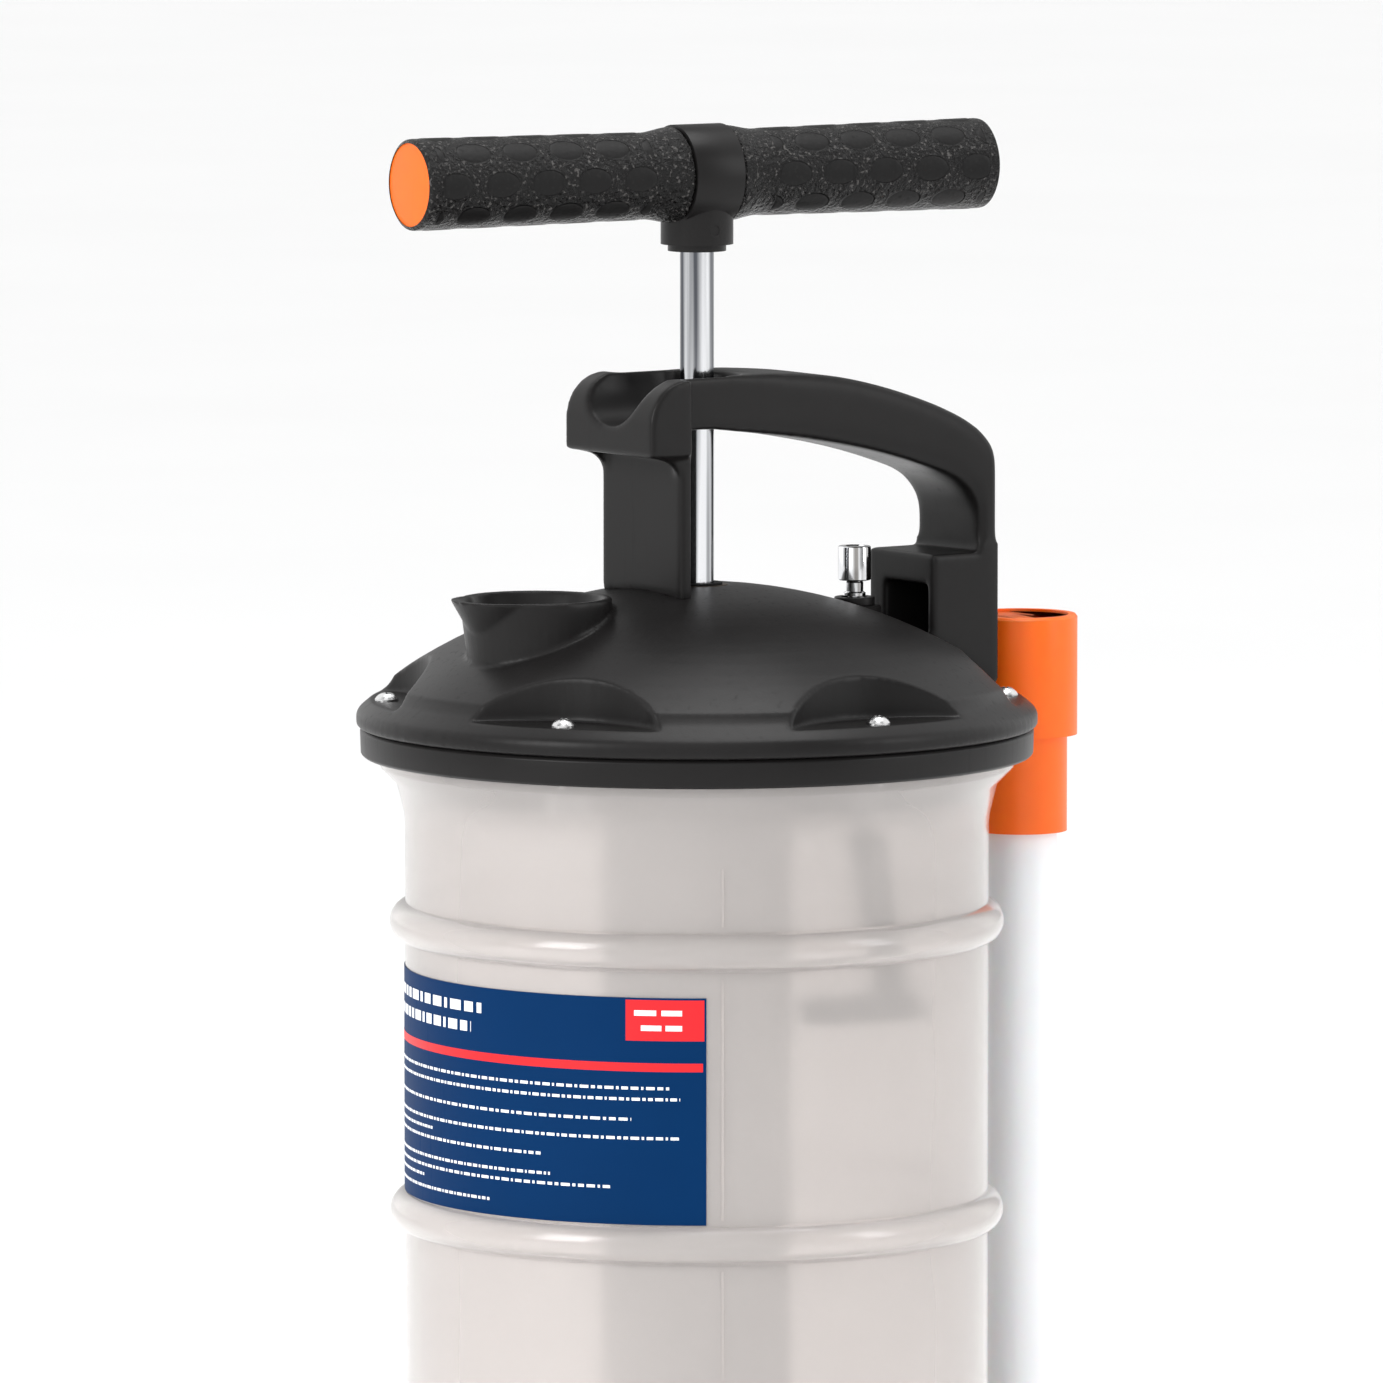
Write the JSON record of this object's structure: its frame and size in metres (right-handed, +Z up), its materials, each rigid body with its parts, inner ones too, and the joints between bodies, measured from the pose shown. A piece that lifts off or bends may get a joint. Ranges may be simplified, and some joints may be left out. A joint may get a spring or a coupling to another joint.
{
  "type": "hand vacuum pump",
  "caption": "Tall hand vacuum fluid extractor: translucent ribbed tank on a base, domed black lid with spout, T-handle piston pump, arched carry handle, probe storage tube.",
  "frame": {"origin": "on the floor under the pump's axis, at the middle rubber foot's underside", "axes": "+Z up along the pump rod, -Y towards the pouring spout and label, +Y towards the probe tube"},
  "size_m": [0.236, 0.2353, 0.5907],
  "materials": {
    "black_plastic": "satin injection-moulded polypropylene",
    "black_rubber": "smooth dark rubber",
    "grip_rubber": "pebbled moulded rubber with smooth oval patches",
    "tank_plastic": "milky translucent blow-moulded polypropylene",
    "clear_plastic": "cloudy tube plastic",
    "white_plastic": "smooth extruded tube plastic",
    "orange_plastic": "satin orange moulding",
    "label_film": "printed film with plain bars",
    "rod_chrome": "bright plated steel",
    "screw_steel": "plated fastener steel",
    "bush_brass": "turned brass",
    "piston_aluminium": "machined aluminium"
  },
  "bodies": {
    "root": {"base": "black_plastic", "base_feet": "black_rubber", "tank": "tank_plastic", "tank_label": "label_film", "clamp_ring": "black_plastic", "lid": "black_plastic", "lid_gasket": "black_rubber", "lid_screws": "screw_steel", "carry_handle": "black_plastic", "handle_screws": "screw_steel", "hose_bung": "black_rubber", "pump_cylinder": "clear_plastic", "cylinder_seal": "black_rubber", "cylinder_nut": "black_plastic", "cylinder_foot": "black_plastic", "valve_cage": "black_plastic", "intake_pipe": "white_plastic", "rod_bush": "bush_brass", "rod_wiper": "black_rubber", "release_seat": "black_plastic", "release_spring": "screw_steel", "float_guide": "black_plastic", "probe_tube": "white_plastic", "probe_collar": "orange_plastic"},
    "seal_rings": {"piston_seal": "black_rubber", "guide_ring": "white_plastic"},
    "pump_rod": {"piston_rod": "rod_chrome", "t_body": "black_plastic", "grip_front": "grip_rubber", "grip_rear": "grip_rubber", "cap_front": "orange_plastic", "cap_rear": "orange_plastic", "handle_pin": "screw_steel", "piston": "piston_aluminium", "piston_washer": "screw_steel", "piston_nut": "screw_steel"},
    "piston_valve": {"piston_disc": "black_rubber"},
    "intake_valve": {"intake_disc": "black_rubber"},
    "release_button": {"release_knob": "rod_chrome", "release_seal": "black_rubber"},
    "overfill_float": {"float_arm": "black_plastic", "float_pad": "black_plastic"}
  },
  "joints": [
    {"name": "pump_stroke", "type": "slide", "parent": "root", "child": "seal_rings", "axis": [0, 0, 1], "range_m": [-0.044, 0.34]},
    {"name": "handle_spin", "type": "hinge", "parent": "seal_rings", "child": "pump_rod", "pos_m": [0, 0, 0.5], "axis": [0, 0, 1], "continuous": true},
    {"name": "piston_valve_lift", "type": "slide", "parent": "pump_rod", "child": "piston_valve", "axis": [0, 0, 1], "range_m": [0, 0.0012]},
    {"name": "intake_valve_lift", "type": "slide", "parent": "root", "child": "intake_valve", "axis": [0, 0, 1], "range_m": [0, 0.0015]},
    {"name": "release_press", "type": "slide", "parent": "root", "child": "release_button", "axis": [0, 0, 1], "range_m": [-0.0025, 0], "stiffness_N_per_m": 500, "springref_m": 0.006, "deforming": ["release_spring"]},
    {"name": "float_rise", "type": "slide", "parent": "root", "child": "overfill_float", "axis": [0, 0, 1], "range_m": [0, 0.01]}
  ]
}
